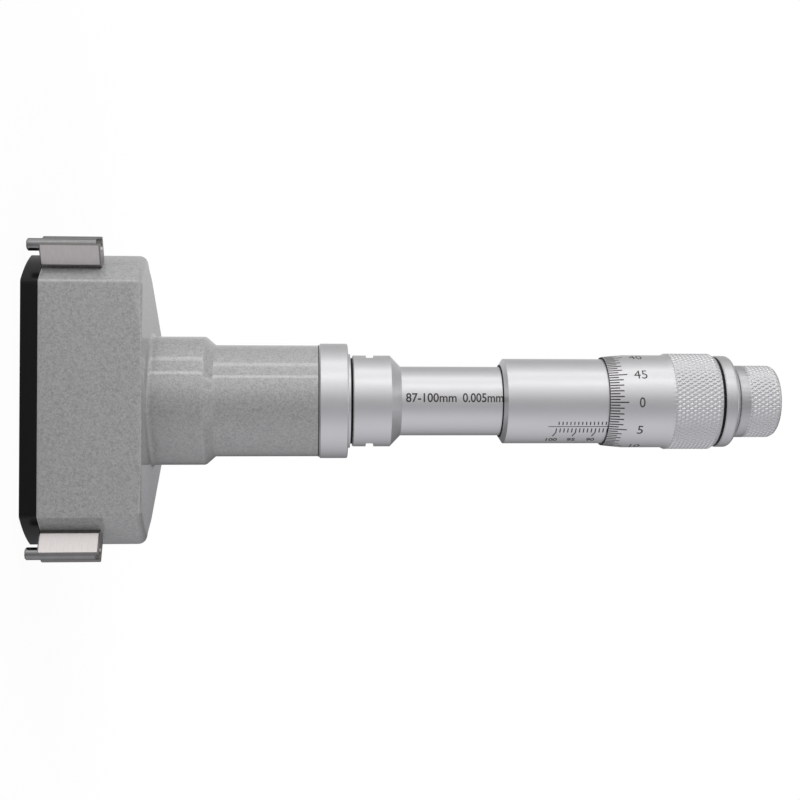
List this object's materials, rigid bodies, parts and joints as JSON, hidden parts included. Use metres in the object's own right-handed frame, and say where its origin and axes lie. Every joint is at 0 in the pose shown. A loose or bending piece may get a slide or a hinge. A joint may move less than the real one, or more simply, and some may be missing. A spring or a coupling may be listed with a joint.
{
  "type": "inside micrometer",
  "caption": "Inside micrometer with a faceted measuring head, expanding anvils driven by an inner cone, a slim tube with graduated sleeve, a knurled thimble and a ratchet knob.",
  "frame": {"origin": "centre of the front cover's outer face, on the instrument's long axis", "axes": "+Z along the long axis from the front cover to the ratchet knob; +Y towards the third anvil; -Y towards the long flat of the head that faces the user when the scale is read; +X completes the right-handed set"},
  "size_m": [0.0774, 0.0682, 0.1876],
  "materials": {
    "head_paint": "hammered gloss paint",
    "cover_black": "satin black",
    "satin_chrome": "satin",
    "ground_steel": "ground",
    "carbide": "lapped",
    "bush_bronze": "turned",
    "spring_steel": "bright",
    "black_screw": "blackened",
    "seal_black": "matt"
  },
  "bodies": {
    "head_and_tube": {"head_body": "head_paint", "front_cover": "cover_black", "cover_screws": "black_screw", "neck_bush": "bush_bronze", "neck_ring": "satin_chrome", "coupling_ring": "satin_chrome", "barrel_tube": "satin_chrome", "adjusting_nut": "ground_steel", "graduated_sleeve": "satin_chrome", "guide_bush_1": "bush_bronze", "guide_bush_2": "bush_bronze", "guide_bush_3": "bush_bronze", "return_spring_1": "spring_steel", "return_spring_2": "spring_steel", "return_spring_3": "spring_steel"},
    "cone_and_rod": {"expanding_cone": "ground_steel", "cone_screw": "black_screw", "push_rod": "ground_steel", "thrust_ball": "spring_steel"},
    "spindle_and_thimble": {"spindle": "ground_steel", "thimble": "satin_chrome", "cap_seal": "seal_black", "end_cap": "satin_chrome", "ratchet_pawl": "ground_steel", "ratchet_screw": "ground_steel", "ratchet_spring": "spring_steel"},
    "knob": {"ratchet_knob": "satin_chrome"},
    "anvil_1": {"anvil_piston_1": "ground_steel", "anvil_bar_1": "ground_steel", "contact_pin_1": "carbide"},
    "anvil_2": {"anvil_piston_2": "ground_steel", "anvil_bar_2": "ground_steel", "contact_pin_2": "carbide"},
    "anvil_3": {"anvil_piston_3": "ground_steel", "anvil_bar_3": "ground_steel", "contact_pin_3": "carbide"}
  },
  "joints": [
    {"name": "rod_feed", "type": "slide", "parent": "head_and_tube", "child": "cone_and_rod", "axis": [0, 0, -1], "range_m": [-0.00005, 0.01295]},
    {"name": "thimble_spin", "type": "hinge", "parent": "cone_and_rod", "child": "spindle_and_thimble", "pos_m": [0, 0, 0.15], "axis": [0, 0, -1], "range_deg": [-34.4, 9334]},
    {"name": "ratchet_slip", "type": "hinge", "parent": "spindle_and_thimble", "child": "knob", "pos_m": [0, 0, 0.18], "axis": [0, 0, -1], "continuous": true},
    {"name": "anvil_slide_1", "type": "slide", "parent": "head_and_tube", "child": "anvil_1", "axis": [-0.866, -0.5, 0], "range_m": [-0.00003, 0.0065], "deforming": ["return_spring_1"]},
    {"name": "anvil_slide_2", "type": "slide", "parent": "head_and_tube", "child": "anvil_2", "axis": [0.866, -0.5, 0], "range_m": [-0.00003, 0.0065], "deforming": ["return_spring_2"]},
    {"name": "anvil_slide_3", "type": "slide", "parent": "head_and_tube", "child": "anvil_3", "axis": [0, 1, 0], "range_m": [-0.00003, 0.0065], "deforming": ["return_spring_3"]}
  ],
  "couplings": [
    {"joint": "thimble_spin", "follows": "rod_feed", "rad_per_m": 12566},
    {"joint": "anvil_slide_1", "follows": "rod_feed", "ratio": 0.5},
    {"joint": "anvil_slide_2", "follows": "rod_feed", "ratio": 0.5},
    {"joint": "anvil_slide_3", "follows": "rod_feed", "ratio": 0.5}
  ]
}
